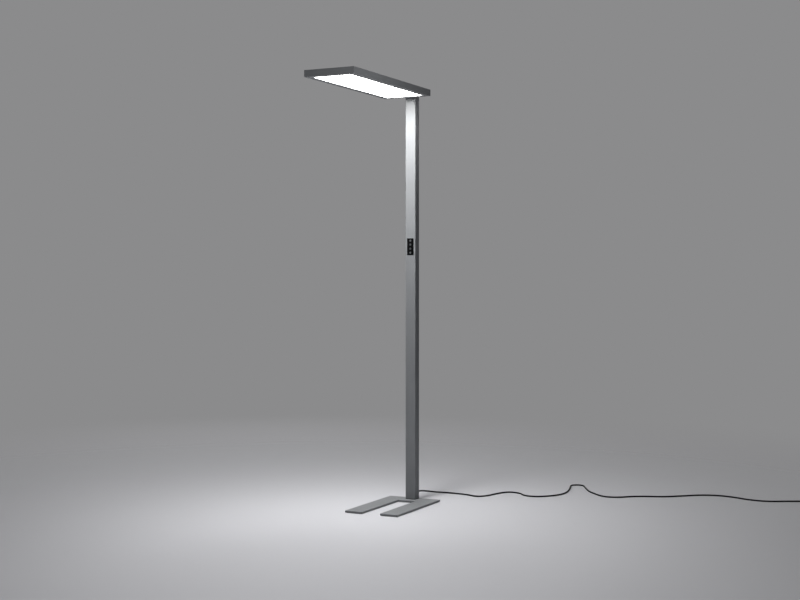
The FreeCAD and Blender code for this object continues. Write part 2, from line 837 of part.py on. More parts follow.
def straight_rail(length):
    """A mitred rail along +X, with its outer face at Y = 0 and the inside towards +Y."""
    lines, upper, lower = rail_section()

    def at(point):
        return V(0, point[0], point[1])

    edges = [Part.LineSegment(at(a), at(b)).toShape() for a, b in zip(lines, lines[1:])]
    edges.append(Part.Arc(at(upper[0]), at(upper[1]), at(upper[2])).toShape())
    edges.append(Part.LineSegment(at(upper[2]), at(lower[0])).toShape())
    edges.append(Part.Arc(at(lower[0]), at(lower[1]), at(lower[2])).toShape())
    solid = Part.Face(Part.Wire(edges)).extrude(V(length, 0, 0))
    reach = bezel_width + 1
    start = mitre_gap / 2
    for corner, aim in ((0, 1), (length, -1)):
        points = [V(corner - aim, -1, -1), V(corner + aim * (start - 1), -1, -1),
                  V(corner + aim * (start + reach), reach, -1), V(corner - aim, reach, -1),
                  V(corner - aim, -1, -1)]
        solid = solid.cut(Part.Face(Part.makePolygon(points)).extrude(V(0, 0, head_thickness + 2)))
    return solid


def place_rail(length, origin, turn):
    rail = straight_rail(length)
    rail.rotate(V(0, 0, 0), V(0, 0, 1), turn)
    rail.translate(V(*origin))
    return rail


def make_head_rails():
    """Front, rear, left and right rails, drilled for the corner and cover screws."""
    half = head_width / 2
    rails = {
        "head_rail_front": place_rail(head_width, (-half, head_front, head_bottom), 0),
        "head_rail_rear": place_rail(head_width, (half, head_rear, head_bottom), 180),
        "head_rail_right": place_rail(head_length, (half, head_front, head_bottom), 90),
        "head_rail_left": place_rail(head_length, (-half, head_rear, head_bottom), -90),
    }
    window_half = arm_width / 2 + arm_gap
    window = block(-window_half, window_half, cavity_rear - 1, head_rear + 1, arm_level - arm_gap,
                   arm_top + arm_gap)
    rails["head_rail_rear"] = rails["head_rail_rear"].cut(window)
    tools = screw_holes(m4_countersunk, corner_screw_length, corner_seats(), thread_gap)
    tools += screw_holes(m3_countersunk, cover_screw_length, cover_seats(), thread_gap)
    drilled = {}
    for name, rail in rails.items():
        near = [t for t in tools if t.BoundBox.intersect(rail.BoundBox)]
        drilled[name] = cut_all(rail, near)
    return drilled


def make_corner_brackets():
    group = []
    for sx in (-1, 1):
        for end, sy in ((cavity_rear, 1), (cavity_front, -1)):
            outer_x = sx * cavity_half_width
            inner_x = sx * (cavity_half_width - corner_leg)
            thin_x = sx * (cavity_half_width - corner_thickness)
            inner_y = end - sy * corner_leg
            thin_y = end - sy * corner_thickness
            side_leg = block(min(outer_x, thin_x), max(outer_x, thin_x), min(end, inner_y), max(end, inner_y),
                             mount_plate_level, ledge_level)
            end_leg = block(min(outer_x, inner_x), max(outer_x, inner_x), min(end, thin_y), max(end, thin_y),
                            mount_plate_level, ledge_level)
            group.append(fuse_all([side_leg, end_leg]))
    holes = screw_holes(m4_countersunk, corner_screw_length, corner_seats(), clearance_gap)
    return Part.makeCompound([cut_all(bracket, holes) for bracket in group])


def make_top_cover():
    half = cavity_half_width - cover_gap
    cover = block(-half, half, cavity_front + cover_gap, cavity_rear - cover_gap, ledge_top, lamp_height)
    return cut_all(cover, screw_holes(m3_countersunk, cover_screw_length, cover_seats(), clearance_gap))


# ---------------------------------------------------------------- optical stack
board_face = cavity_half_width - led_board_thickness
guide_half_width = board_face - led_height - led_gap


def sheet(half_width, level, thickness):
    """A flat sheet that fills the head from end to end, with a gap at each."""
    return block(-half_width, half_width, cavity_front + sheet_gap, cavity_rear - sheet_gap,
                 level, level + thickness)


def make_back_plate():
    plate = sheet(board_face - sheet_gap, back_plate_level, back_plate_thickness)
    return cut_all(plate, screw_holes(m4_countersunk, mount_screw_length, mount_seats, thread_gap))


def make_led_boards():
    top = mount_plate_level
    group = []
    for sx in (-1, 1):
        x0 = min(sx * board_face, sx * cavity_half_width)
        x1 = max(sx * board_face, sx * cavity_half_width)
        group.append(block(x0, x1, cavity_front + led_board_end_margin, cavity_rear - led_board_end_margin,
                           guide_level, top))
    return Part.makeCompound(group)


def make_leds():
    first = cavity_front + led_board_end_margin + led_pitch / 2
    room = cavity_rear - led_board_end_margin - led_pitch / 2 - first
    count = int(room / led_pitch) + 1
    low = guide_level + (light_guide_thickness - led_size) / 2
    group = []
    for sx in (-1, 1):
        x0 = min(sx * board_face, sx * (board_face - led_height))
        for k in range(count):
            y = first + led_pitch * k
            group.append(block(x0, x0 + led_height, y - led_size / 2, y + led_size / 2, low, low + led_size))
    return Part.makeCompound(group)


def make_mount_plate():
    plate = block(-mount_plate_width / 2, mount_plate_width / 2, mount_plate_front, mount_plate_rear,
                  mount_plate_level, arm_level)
    tools = screw_holes(m4_countersunk, mount_screw_length, mount_seats, clearance_gap)
    tools += screw_holes(m5_cap, arm_head_length, arm_head_seats, thread_gap)
    return cut_all(plate, tools)


def make_head_connector():
    half = connector_width / 2
    body = block(-half, half, connector_rear - connector_length, connector_rear, mount_plate_level,
                 mount_plate_level + connector_height)
    return round_upright_edges(body, connector_edge_radius)


def make_board_leads():
    """Two short leads that lie on the back plate, from the connector to the LED boards."""
    level = mount_plate_level + board_lead_diameter / 2 + board_lead_gap
    y = connector_rear - connector_length / 2
    length = board_face + led_board_thickness / 2 - connector_width / 2
    group = []
    for sx in (-1, 1):
        group.append(rod(board_lead_diameter / 2, length, (sx * connector_width / 2, y, level), (sx, 0, 0)))
    return Part.makeCompound(group)


# ---------------------------------------------------------------- mains cord and plug
# The cord's route over the floor, from the tail of the strain relief to the plug's boot.
lie = cord_diameter / 2
cord_start = rear_face + relief_length
plug_level = plug_radius + plug_floor_gap
cord_route = [
    (0, cord_start, cord_exit_height), (0, 84, cord_exit_height), (2, 124, 30), (8, 176, 21), (22, 226, 10.5),
    (47, 273, lie), (118, 269, lie), (180, 258, lie), (214, 237, lie), (240, 234, lie), (262, 251, lie),
    (281, 287, lie), (288, 341, lie), (322, 432, lie), (394, 416, lie), (430, 359, lie), (499, 347, lie),
    (561, 409, lie), (591, 479, lie), (587, 567, lie), (566, 659, lie), (544, 737, lie), (538, 760, lie),
    (547, 780, lie), (567, 791, lie), (589, 787, lie), (605, 769, lie), (618, 740, lie), (642, 690, lie),
    (681, 616, lie), (722, 569, lie), (779, 506, lie), (826, 496, lie), (874, 516, lie), (912, 560, lie),
    (976, 596, lie), (1056, 620, lie), (1122, 676, lie), (1190, 744, lie), (1276, 780, lie),
    (1366, 760, lie), (1446, 714, lie), (1532, 704, lie), (1616, 752, lie), (1694, 790, lie),
    (1756, 764, lie), (1780, 706, lie), (1784, 652, 4), (1786, 606, 10.5), (1787, 572, plug_level),
    (1787, 548, plug_level),
]


def route_radii(points):
    """Each bend's radius: as large as its two runs allow."""
    radii = []
    for before, here, after in zip(points, points[1:], points[2:]):
        into = V(*here) - V(*before)
        out = V(*after) - V(*here)
        half_turn = into.getAngle(out) / 2
        radii.append(cord_bend_share * min(into.Length, out.Length) / math.tan(half_turn))
    return radii


def make_cord():
    radii = route_radii(cord_route)
    path, tube = tube_along(cord_route, radii, cord_diameter)
    section = math.pi * cord_diameter ** 2 / 4
    print("cord radii", " ".join("%.0f" % r for r in radii))
    print("cord length %.1f, volume %.1f, section times length %.1f"
          % (path.Length, tube.Volume, section * path.Length))
    return tube


plug_aim = (V(*cord_route[-1]) - V(*cord_route[-2])).normalize()
plug_heading = V(plug_aim.x, plug_aim.y, 0).normalize()
plug_across = V(0, 0, 1).cross(plug_heading)
plug_tail = V(*cord_route[-1])
plug_back = plug_tail + plug_heading * plug_boot_length
plug_shoulder = plug_back + plug_heading * plug_rear_length
plug_face = plug_shoulder + plug_heading * plug_front_length


def make_plug_boot():
    return Part.makeCone(plug_boot_tip_radius, plug_boot_root_radius, plug_boot_length, plug_tail,
                         plug_heading)


def pin_places():
    return [plug_face + plug_across * (s * pin_half_spacing) for s in (-1, 1)]


def make_plug_body():
    rear = Part.makeCone(plug_rear_radius, plug_radius, plug_rear_length, plug_back, plug_heading)
    front = Part.makeCylinder(plug_radius, plug_front_length, plug_shoulder, plug_heading)
    body = fuse_all([rear, front])
    rims = [e for e in body.Edges if isinstance(e.Curve, Part.Circle)
            and (e.CenterOfMass - plug_face).Length < 1e-3]
    body = body.makeFillet(plug_edge_radius, rims)
    tools = [Part.makeCylinder(pin_radius, pin_seat_depth, p - plug_heading * pin_seat_depth, plug_heading)
             for p in pin_places()]
    tools += earth_clip_solids()
    return cut_all(body, tools)


def make_plug_pins():
    """Round-nosed pins, seated in the plug's face."""
    group = []
    for place in pin_places():
        seat = place - plug_heading * pin_seat_depth
        shaft_length = pin_seat_depth + pin_length - pin_radius
        shaft = Part.makeCylinder(pin_radius, shaft_length, seat, plug_heading)
        nose = Part.makeSphere(pin_radius, seat + plug_heading * shaft_length)
        group.append(fuse_all([shaft, nose]))
    return Part.makeCompound(group)


def earth_clip_solids():
    """Two flat spring contacts let into the top and bottom of the plug's rim."""
    group = []
    for side in (-1, 1):
        level = side * (plug_radius - earth_clip_inset)
        clip = Part.makeBox(earth_clip_length, earth_clip_width, earth_clip_thickness,
                            V(0, -earth_clip_width / 2, level - earth_clip_thickness / 2))
        turn = math.degrees(math.atan2(plug_heading.y, plug_heading.x))
        clip.rotate(V(0, 0, 0), V(0, 0, 1), turn)
        clip.translate(plug_face - plug_heading * earth_clip_length)
        group.append(clip)
    return group


# ---------------------------------------------------------------- every piece by name
pieces = {
    "base_mat": make_base_mat(),
    "base_plate": make_base_plate(),
    "base_screws": screws(m8_countersunk, base_screw_length, base_seats),
    "foot_gasket": make_foot_gasket(),
    "foot_block": make_foot_block(),
    "foot_side_screws": screws(m5_countersunk, side_screw_length, side_seats),
    "column_profile": make_column_profile(),
    "column_cap": make_column_cap(),
    "cap_screws": screws(m4_countersunk, cap_screw_length, cap_seats),
    "cord_relief": make_cord_relief(),
    "inner_cord": make_inner_cord(),
    "cord_clamp": make_cord_clamp(),
    "cord_clamp_screws": screws(m4_cap, clamp_screw_length, clamp_seats),
    "terminal_bracket": make_terminal_bracket(),
    "terminal_bracket_screws": screws(m4_cap, bracket_screw_length, bracket_seats),
    "terminal_block": make_terminal_block(),
    "supply_lead": make_supply_lead(),
    "led_driver": make_led_driver(),
    "driver_screws": screws(m4_countersunk, driver_screw_length, driver_seats),
    "led_lead": make_led_lead(),
    "control_lead": make_control_lead(),
    "control_bezel": make_control_bezel(),
    "control_housing": make_control_housing(),
    "control_board": make_control_board(),
    "key_switches": make_key_switches(),
    "control_screws": screws(m25_cap, control_screw_length, control_seats),
    "key_on_off": make_key(key_levels[3]),
    "key_brighter": make_key(key_levels[2]),
    "key_dimmer": make_key(key_levels[1]),
    "key_sensor": make_key(key_levels[0]),
    "neck_block": make_neck_block(),
    "neck_block_screws": screws(m5_countersunk, neck_side_length, neck_side_seats),
    "neck_arm": make_neck_arm(),
    "arm_column_screws": screws(m5_cap, arm_column_length, arm_column_seats),
    "arm_head_screws": screws(m5_cap, arm_head_length, arm_head_seats),
    "neck_sleeve": make_neck_sleeve(),
    "corner_brackets": make_corner_brackets(),
    "corner_screws": screws(m4_countersunk, corner_screw_length, corner_seats()),
    "top_cover": make_top_cover(),
    "cover_screws": screws(m3_countersunk, cover_screw_length, cover_seats()),
    "diffuser": sheet(cavity_half_width - sheet_gap, diffuser_level, diffuser_thickness),
    "light_guide": sheet(guide_half_width, guide_level, light_guide_thickness),
    "reflector_sheet": sheet(guide_half_width, reflector_level, reflector_thickness),
    "back_plate": make_back_plate(),
    "led_boards": make_led_boards(),
    "leds": make_leds(),
    "mount_plate": make_mount_plate(),
    "mount_plate_screws": screws(m4_countersunk, mount_screw_length, mount_seats),
    "head_connector": make_head_connector(),
    "board_leads": make_board_leads(),
    "cord": make_cord(),
    "plug_boot": make_plug_boot(),
    "plug_body": make_plug_body(),
    "plug_pins": make_plug_pins(),
    "plug_earth_clips": Part.makeCompound(earth_clip_solids()),
}
pieces.update(make_head_rails())

for name, shape in pieces.items():
    shape.exportStep("parts/%s.step" % name)
print(len(pieces), "pieces,", sum(len(s.Solids) for s in pieces.values()), "solids")
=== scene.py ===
import math

import bmesh
import bpy
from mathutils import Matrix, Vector


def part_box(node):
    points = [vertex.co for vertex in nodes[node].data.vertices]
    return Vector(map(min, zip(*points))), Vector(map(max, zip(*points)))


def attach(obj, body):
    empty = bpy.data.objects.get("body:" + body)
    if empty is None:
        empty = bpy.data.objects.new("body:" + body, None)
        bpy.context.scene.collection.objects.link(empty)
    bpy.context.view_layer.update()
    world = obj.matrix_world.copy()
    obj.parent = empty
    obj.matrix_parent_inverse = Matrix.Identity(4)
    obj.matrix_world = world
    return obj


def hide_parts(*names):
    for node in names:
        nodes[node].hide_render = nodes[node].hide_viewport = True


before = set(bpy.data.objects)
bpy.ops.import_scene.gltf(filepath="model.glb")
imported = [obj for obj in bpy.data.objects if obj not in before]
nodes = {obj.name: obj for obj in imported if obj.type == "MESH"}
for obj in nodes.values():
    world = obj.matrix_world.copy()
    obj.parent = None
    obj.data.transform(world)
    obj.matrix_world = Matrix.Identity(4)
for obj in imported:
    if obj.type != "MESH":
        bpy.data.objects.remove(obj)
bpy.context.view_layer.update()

# Office floor lamp: the looks around its CAD frame. Metres; +Z is up and the front faces -Y.
scene = bpy.context.scene
LAMP = "lamp"
MM = 0.001


# ---------------------------------------------------------------- camera
# Fitted to the lamp's outline: it stands to the right of the front, about as high as the lamp's middle.
CAMERA_PLACE = (2.71522, -5.65444, 1.05697)
CAMERA_TURN = math.radians(26.19)
CAMERA_DIP = math.radians(0.87)
LENS_MM = 59.054
SENSOR_MM = 36.0
VIEW_DEPTH = 60.0


def add_camera():
    data = bpy.data.cameras.new("camera")
    data.sensor_width = SENSOR_MM
    data.lens = LENS_MM
    data.clip_end = VIEW_DEPTH
    camera = bpy.data.objects.new("camera", data)
    camera.location = CAMERA_PLACE
    camera.rotation_euler = (math.radians(90) - CAMERA_DIP, 0, CAMERA_TURN)
    scene.collection.objects.link(camera)
    scene.camera = camera


add_camera()

# ---------------------------------------------------------------- mains cord
CORD_DIAMETER = 7.6 * MM
# The centre line's height in millimetres where the cord lies on the floor, and at the plug.
LIE = 3.8
PLUG_LEVEL = 18.6
# The tube's own route, in millimetres: out of the foot's back, down to the floor and away to the right.
CORD_ROUTE_MM = [
    (0, 52, 36), (0, 84, 36), (2, 124, 30), (8, 176, 21), (22, 226, 10.5),
    (47, 273, LIE), (118, 269, LIE), (180, 258, LIE), (214, 237, LIE), (240, 234, LIE), (262, 251, LIE),
    (281, 287, LIE), (288, 341, LIE), (322, 432, LIE), (394, 416, LIE), (430, 359, LIE), (499, 347, LIE),
    (561, 409, LIE), (591, 479, LIE), (587, 567, LIE), (566, 659, LIE), (544, 737, LIE), (538, 760, LIE),
    (547, 780, LIE), (567, 791, LIE), (589, 787, LIE), (605, 769, LIE), (618, 740, LIE), (642, 690, LIE),
    (681, 616, LIE), (722, 569, LIE), (779, 506, LIE), (826, 496, LIE), (874, 516, LIE), (912, 560, LIE),
    (976, 596, LIE), (1056, 620, LIE), (1122, 676, LIE), (1190, 744, LIE), (1276, 780, LIE),
    (1366, 760, LIE), (1446, 714, LIE), (1532, 704, LIE), (1616, 752, LIE), (1694, 790, LIE),
    (1756, 764, LIE), (1780, 706, LIE), (1784, 652, 4), (1786, 606, 10.5), (1787, 572, PLUG_LEVEL),
    (1787, 548, PLUG_LEVEL),
]


def smooth_line(name, points, diameter):
    """A round flexible lead on one smooth line; each point carries the lead's own radius."""
    curve = bpy.data.curves.new(name, "CURVE")
    curve.dimensions = "3D"
    spline = curve.splines.new("NURBS")
    spline.points.add(len(points) - 1)
    for control, place in zip(spline.points, points):
        control.co = (*place, 1)
        control.radius = diameter / 2
    spline.order_u = 3
    spline.use_endpoint_u = True
    spline.resolution_u = 10
    curve.bevel_depth = 1.0
    curve.bevel_resolution = 6
    curve.use_fill_caps = True
    line = bpy.data.objects.new(name, curve)
    scene.collection.objects.link(line)
    return line


cord_route = [Vector(p) * MM for p in CORD_ROUTE_MM]
cord = smooth_line("mains_cord", cord_route, CORD_DIAMETER)
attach(cord, LAMP)
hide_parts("cord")


# ---------------------------------------------------------------- mesh helpers
def new_piece(name, build, body=LAMP, stands_for=(), smooth=True):
    """A mesh piece that rides on a body; build fills its bmesh."""
    mesh = bpy.data.meshes.new(name)
    shape = bmesh.new()
    build(shape)
    bmesh.ops.recalc_face_normals(shape, faces=shape.faces)
    shape.to_mesh(mesh)
    shape.free()
    for face in mesh.polygons:
        face.use_smooth = smooth
    piece = bpy.data.objects.new(name, mesh)
    scene.collection.objects.link(piece)
    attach(piece, body)
    if stands_for:
        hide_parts(*stands_for)
    return piece


def loft(shape, rings):
    """Skins closed rings of points, one after another, and closes both ends."""
    rows = [[shape.verts.new(p) for p in ring] for ring in rings]
    for row, following in zip(rows, rows[1:]):
        count = len(row)
        for k in range(count):
            shape.faces.new((row[k], row[(k + 1) % count], following[(k + 1) % count], following[k]))
    shape.faces.new(rows[0])
    shape.faces.new(rows[-1])


# ---------------------------------------------------------------- plug
plug_aim = (cord_route[-1] - cord_route[-2]).normalized()
plug_up = Vector((0, 0, 1))
plug_side = plug_up.cross(plug_aim).normalized()
plug_tail = cord_route[-1]
PLUG_FLUTES = 16
BOOT_LENGTH = 26 * MM
BOOT_TAIL_RADIUS = 3.95 * MM
BOOT_HEAD_RADIUS = 6.3 * MM
BOOT_RIBS = 6
RIB_ROUNDING = 0.3 * MM
# The ribs' crests and the valleys between them, in millimetres: at the cord, and how much they gain.
CREST_RADIUS, CREST_GAIN = 4.5, 1.8
VALLEY_RADIUS, VALLEY_GAIN = 4.1, 0.7


def plug_ring(along, radius, flute=0.0, flutes=0, count=96):
    """One ring round the plug's axis; flutes are the shallow grips in its rim."""
    centre = plug_tail + plug_aim * along
    ring = []
    for k in range(count):
        angle = 2 * math.pi * k / count
        dip = flute * (0.5 - 0.5 * math.cos(flutes * angle)) if flutes else 0.0
        r = radius - dip
        ring.append(centre + (plug_side * math.cos(angle) + plug_up * math.sin(angle)) * r)
    return ring


def build_plug_body(shape):
    """Moulded round plug: a fluted collar behind, a smooth round front and a chamfered rim.

    Each row of its profile, in millimetres: along the axis, the radius, and the flutes' depth.
    """
    profile = [(0.0, 11.4, 0), (0.6, 12.0, 0), (3.0, 12.8, 0.3), (6.0, 14.0, 1.0), (9.0, 15.3, 1.3),
               (12.0, 16.8, 1.2), (14.0, 17.8, 0.6), (15.0, 18.3, 0), (16.0, 18.5, 0), (18.0, 18.5, 0),
               (18.4, 18.15, 0), (19.2, 18.15, 0), (19.6, 18.5, 0), (33.5, 18.5, 0), (34.4, 18.1, 0),
               (34.9, 17.2, 0), (35.0, 16.4, 0)]
    loft(shape, [plug_ring(BOOT_LENGTH + y * MM, r * MM, f * MM, PLUG_FLUTES) for y, r, f in profile])


def build_plug_boot(shape):
    """Flexible boot: ring ribs that get smaller towards the cord."""
    rings = [plug_ring(0.0, BOOT_TAIL_RADIUS, count=48)]
    pitch = BOOT_LENGTH / BOOT_RIBS
    for k in range(BOOT_RIBS):
        share = k / (BOOT_RIBS - 1)
        crest = (CREST_RADIUS + CREST_GAIN * share) * MM
        valley = (VALLEY_RADIUS + VALLEY_GAIN * share) * MM
        rounded = crest - RIB_ROUNDING
        for place, radius in ((0.04, rounded), (0.12, crest), (0.5, crest), (0.58, rounded), (0.64, valley),
                              (0.96, valley)):
            rings.append(plug_ring(pitch * (k + place), radius, count=48))
    rings.append(plug_ring(BOOT_LENGTH, BOOT_HEAD_RADIUS, count=48))
    loft(shape, rings)


plug_body = new_piece("plug_housing", build_plug_body, stands_for=["plug_body"])
plug_boot = new_piece("plug_strain_boot", build_plug_boot, stands_for=["plug_boot"])


# ---------------------------------------------------------------- marks on the keys
MARK_PROUD = 0.12 * MM
MARK_SINK = 0.25 * MM
KEY_DISH_DEPTH = 0.3 * MM
# The signs' own sizes, in millimetres.
STROKE = 0.7
SIGN_LENGTH = 4.2
ON_OFF_RADIUS = 2.1
ON_OFF_BAR_LENGTH = 2.2
ON_OFF_BAR_MIDDLE = 1.7
EYE_RADIUS = 1.1
RAY_RADIUS = 2.2
RAY_STROKE = 0.65
RAY_DEGREES = 32


def key_face(key):
    """The middle of a key's dished face."""
    low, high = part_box(key)
    return Vector(((low.x + high.x) / 2, low.y + KEY_DISH_DEPTH, (low.z + high.z) / 2))


def prism(shape, centre, outline):
    """A flat mark from an outline in millimetres across and up, set into a key's face."""
    front = [centre + Vector((x * MM, -MARK_PROUD, z * MM)) for x, z in outline]
    back = [centre + Vector((x * MM, MARK_SINK, z * MM)) for x, z in outline]
    loft(shape, [front, back])


def bar(shape, centre, z, width, height):
    """An upright rectangle whose middle is z above the key's."""
    across, up = width / 2, height / 2
    prism(shape, centre, [(-across, z - up), (across, z - up), (across, z + up), (-across, z + up)])


def arc_band(shape, centre, radius, width, first, last, count=40):
    """Part of a ring, angles in degrees from straight up."""
    angles = [math.radians(first + (last - first) * k / count) for k in range(count + 1)]
    inner, outer = radius - width / 2, radius + width / 2
    for a, b in zip(angles, angles[1:]):
        prism(shape, centre, [(r * math.sin(angle), r * math.cos(angle))
                              for r, angle in ((inner, a), (outer, a), (outer, b), (inner, b))])


def build_on_off(shape):
    centre = key_face("key_on_off")
    arc_band(shape, centre, ON_OFF_RADIUS, STROKE, 38, 322)
    bar(shape, centre, ON_OFF_BAR_MIDDLE, STROKE, ON_OFF_BAR_LENGTH)


def build_brighter(shape):
    centre = key_face("key_brighter")
    arm = (SIGN_LENGTH - STROKE) / 2
    bar(shape, centre, 0, SIGN_LENGTH, STROKE)
    for side in (1, -1):
        bar(shape, centre, side * (STROKE + arm) / 2, STROKE, arm)


def build_dimmer(shape):
    bar(shape, key_face("key_dimmer"), 0, SIGN_LENGTH, STROKE)


def build_sensor(shape):
    """A round eye with three short rays above it and three below."""
    centre = key_face("key_sensor")
    arc_band(shape, centre, EYE_RADIUS / 2, EYE_RADIUS, 0, 360)
    for first in (-60, -20, 20, 120, 160, 200):
        arc_band(shape, centre, RAY_RADIUS, RAY_STROKE, first, first + RAY_DEGREES, 10)


mark_builders = {"key_on_off": build_on_off, "key_brighter": build_brighter, "key_dimmer": build_dimmer,
                 "key_sensor": build_sensor}
marks = [new_piece(key + "_mark", build, body=key + "_body", smooth=False)
         for key, build in mark_builders.items()]


# ---------------------------------------------------------------- colours and nodes
def srgb(hex_code):
    """An sRGB hex value as a linear colour."""
    parts = [int(hex_code[i:i + 2], 16) / 255 for i in (1, 3, 5)]
    return (*[p / 12.92 if p <= 0.04045 else ((p + 0.055) / 1.055) ** 2.4 for p in parts], 1.0)


def add(tree, kind, settings=None, **inputs):
    """Adds a node with its settings; an input is a value or another node's output."""
    node = tree.nodes.new("ShaderNode" + kind)
    for name, value in (settings or {}).items():
        setattr(node, name, value)
    for name, value in inputs.items():
        socket = node.inputs[int(name[1:])] if name[0] == "i" and name[1:].isdigit() else \
            node.inputs[name.replace("_", " ")]
        if isinstance(value, bpy.types.NodeSocket):
            tree.links.new(value, socket)
        else:
            socket.default_value = value
    return node


def per_size(size_mm):
    """The noise scale that gives features of about this size."""
    return 1.0 / (size_mm * MM)


# The part of the noise's range that the tone and the gloss run over.
GRAIN_LOW, GRAIN_HIGH = 0.3, 0.7


def finish(name, light, dark, grain_mm, depth_mm, rough, rough_spread, stretch=(1, 1, 1), cloud_mm=90.0,
           cloud=0.25, **constants):
    """A surface of one material.

    It has a slow change of tone, a fine grain in tone and relief, and an uneven gloss. cloud is the slow
    change's share of the tone.
    """
    material = bpy.data.materials.new(name)
    material.use_nodes = True
    tree = material.node_tree
    tree.nodes.clear()
    place = add(tree, "TexCoord").outputs["Object"]
    drawn = add(tree, "Mapping", Vector=place, Scale=stretch).outputs["Vector"]
    grain = add(tree, "TexNoise", Vector=drawn, Scale=per_size(grain_mm), Detail=3.0, Roughness=0.6)
    clouds = add(tree, "TexNoise", Vector=place, Scale=per_size(cloud_mm), Detail=2.0, Roughness=0.5)
    blend = add(tree, "Math", {"operation": "MULTIPLY"}, i0=clouds.outputs["Fac"], i1=cloud)
    share = add(tree, "Math", {"operation": "MULTIPLY_ADD", "use_clamp": True},
                i0=grain.outputs["Fac"], i1=1.0 - cloud, i2=blend.outputs["Value"])
    tone = add(tree, "ValToRGB", Fac=share.outputs["Value"])
    for stop, position, colour in zip(tone.color_ramp.elements, (GRAIN_LOW, GRAIN_HIGH), (dark, light)):
        stop.position = position
        stop.color = srgb(colour)
    gloss = add(tree, "MapRange", Value=share.outputs["Value"], From_Min=GRAIN_LOW, From_Max=GRAIN_HIGH,
                To_Min=rough + rough_spread, To_Max=rough - rough_spread)
    relief = add(tree, "Bump", Strength=1.0, Distance=depth_mm * MM, Height=grain.outputs["Fac"])
    shader = add(tree, "BsdfPrincipled", Base_Color=tone.outputs["Color"], Roughness=gloss.outputs["Result"],
                 Normal=relief.outputs["Normal"], **constants)
    output = add(tree, "OutputMaterial")
    tree.links.new(shader.outputs["BSDF"], output.inputs["Surface"])
    return material


# ---------------------------------------------------------------- materials
# Anodised aluminium extrusion, satin: matt silver grey, with drawn lines along the bar that spread the
# highlight; the lines are drawn 0.7 mm apart, coarser than the real ones, so that they show.
DRAWN_ALONG = {"z": (1, 1, 0.012), "y": (1, 0.012, 1), "x": (0.012, 1, 1)}
anodised = {axis: finish("satin_anodised_aluminium_" + axis, "#8E9092", "#838588", 0.7, 0.004, 0.46, 0.05,
                         stretch=stretch, Specular_IOR_Level=0.1)
            for axis, stretch in DRAWN_ALONG.items()}
# Powder coated steel plate, fine texture: a dry pebbled skin; drawn at 1.4 mm so that it shows.
powder_coat = finish("fine_texture_powder_coat_grey", "#888A8C", "#7A7C7E", 1.4, 0.05, 0.55, 0.08,
                     Specular_IOR_Level=0.2)
# Powder coated sheet, the smooth kind: even and softly glossy, with a faint orange peel.
cover_coat = finish("smooth_powder_coat_grey", "#8F9193", "#868889", 2.5, 0.02, 0.45, 0.05)
# Milled aluminium: bright, with fine cutter lines across.
milled_aluminium = finish("milled_aluminium", "#CFD1D3", "#B4B6B8", 0.5, 0.006, 0.35, 0.06,
                          stretch=(1, 0.05, 1), Metallic=1.0)
# Zinc plated steel: bluish and lightly clouded by its passivation.
zinc_plate = finish("zinc_plated_steel", "#B9BDC2", "#9EA2A8", 0.8, 0.004, 0.34, 0.06, cloud_mm=6.0,
                    Metallic=1.0)
# Black oxide steel: a thin dark layer with an oily gloss.
black_oxide = finish("black_oxide_steel", "#2A2B2D", "#1C1D1F", 0.5, 0.004, 0.38, 0.06, cloud_mm=5.0,
                     Metallic=0.6)
# Moulded ABS, black, spark-eroded skin: deep black, with an even matt grain that kills the gloss.
black_abs = finish("moulded_black_abs", "#09090A", "#050506", 0.35, 0.02, 0.5, 0.06, cloud_mm=20.0,
                   Specular_IOR_Level=0.08)
# Moulded ABS, grey, for the keys: smoother than the frame, so each dish takes a soft highlight.
key_abs = finish("moulded_grey_abs", "#3E3F41", "#37383A", 0.3, 0.008, 0.45, 0.05, cloud_mm=8.0,
                 Specular_IOR_Level=0.3)
# Pad printing ink: a thin pale layer, slightly uneven at its edges.
mark_ink = finish("pad_printed_grey_ink", "#8F9193", "#858789", 0.3, 0.004, 0.45, 0.05, cloud_mm=5.0)
# Moulded ABS, white: plain housing plastic with a fine satin skin.
white_abs = finish("moulded_white_abs", "#E4E5E3", "#D8D9D7", 0.4, 0.01, 0.4, 0.05, cloud_mm=25.0)
# Moulded nylon, natural: creamy and faintly mottled by the glass in it.
beige_nylon = finish("moulded_beige_nylon", "#D9D6C9", "#CBC8BA", 0.5, 0.01, 0.42, 0.05, cloud_mm=12.0)
# Rubber: dead matt with a dusty, slightly uneven bloom.
black_rubber = finish("matt_black_rubber", "#1F2022", "#141517", 0.6, 0.03, 0.72, 0.08, cloud_mm=40.0)
# PVC cord sheath, black: an extruded skin, a little uneven to the light, and nearly without shine.
cord_sheath = finish("black_pvc_sheath", "#08080A", "#050506", 1.2, 0.02, 0.5, 0.06, cloud_mm=60.0,
                     Specular_IOR_Level=0.08)
# PVC lead sheath, white: smooth, with the soft shine of thin insulation.
white_sheath = finish("white_pvc_sheath", "#DADAD8", "#CDCDCB", 1.0, 0.02, 0.4, 0.05, cloud_mm=40.0)
# PET reflecting foil: the whitest surface, smooth and nearly plain.
white_foil = finish("white_reflecting_foil", "#F4F4F2", "#EBEBE9", 1.0, 0.004, 0.3, 0.04)
# Solder mask on the LED strips: white lacquer with a slight wave over the copper.
white_mask = finish("white_solder_mask", "#E8E9E6", "#DDDEDB", 0.6, 0.01, 0.3, 0.04, cloud_mm=10.0)
# Solder mask on the control board: green lacquer, glossier than the white.
green_mask = finish("green_solder_mask", "#2F6040", "#264F34", 0.8, 0.02, 0.28, 0.05, cloud_mm=8.0)
# Phosphor silicone over each LED: soft yellow with a fine grit.
phosphor = finish("yellow_phosphor_silicone", "#F3E07A", "#E6CF62", 0.3, 0.01, 0.45, 0.05, cloud_mm=3.0)
